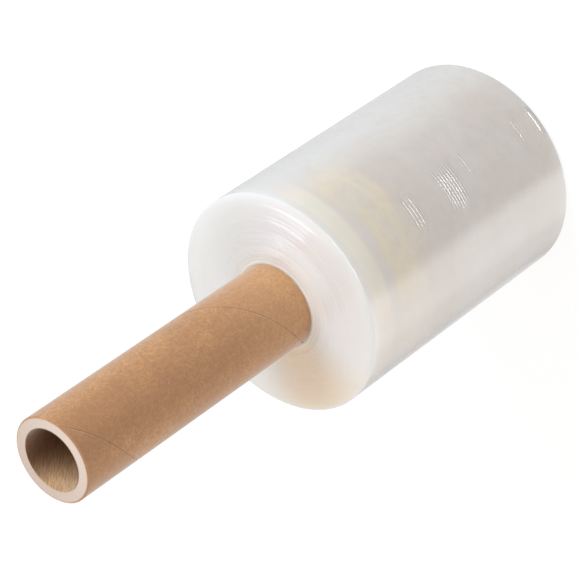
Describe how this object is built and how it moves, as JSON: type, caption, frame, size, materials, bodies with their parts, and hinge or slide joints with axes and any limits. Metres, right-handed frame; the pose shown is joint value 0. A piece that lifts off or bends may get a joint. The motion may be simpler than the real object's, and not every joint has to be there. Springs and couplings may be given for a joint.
{
  "type": "roll of clear stretch film with a core handle",
  "caption": "Narrow roll of clear stretch film wound on a spiral paperboard tube; the tube's long bare end is the handle for wrapping by hand.",
  "frame": {"origin": "on the roll's axis, in the plane of the end that it stands on", "axes": "+Z along the winding axis towards the handle's free end, -Y the front"},
  "size_m": [0.09, 0.0899, 0.249],
  "materials": {
    "paperboard": "matt brown kraft paper, spiral wound",
    "film": "clear polyethylene film, glossy and milky where it is wound"
  },
  "bodies": {
    "root": {"core_tube": "paperboard", "film_roll": "film"}
  },
  "joints": []
}
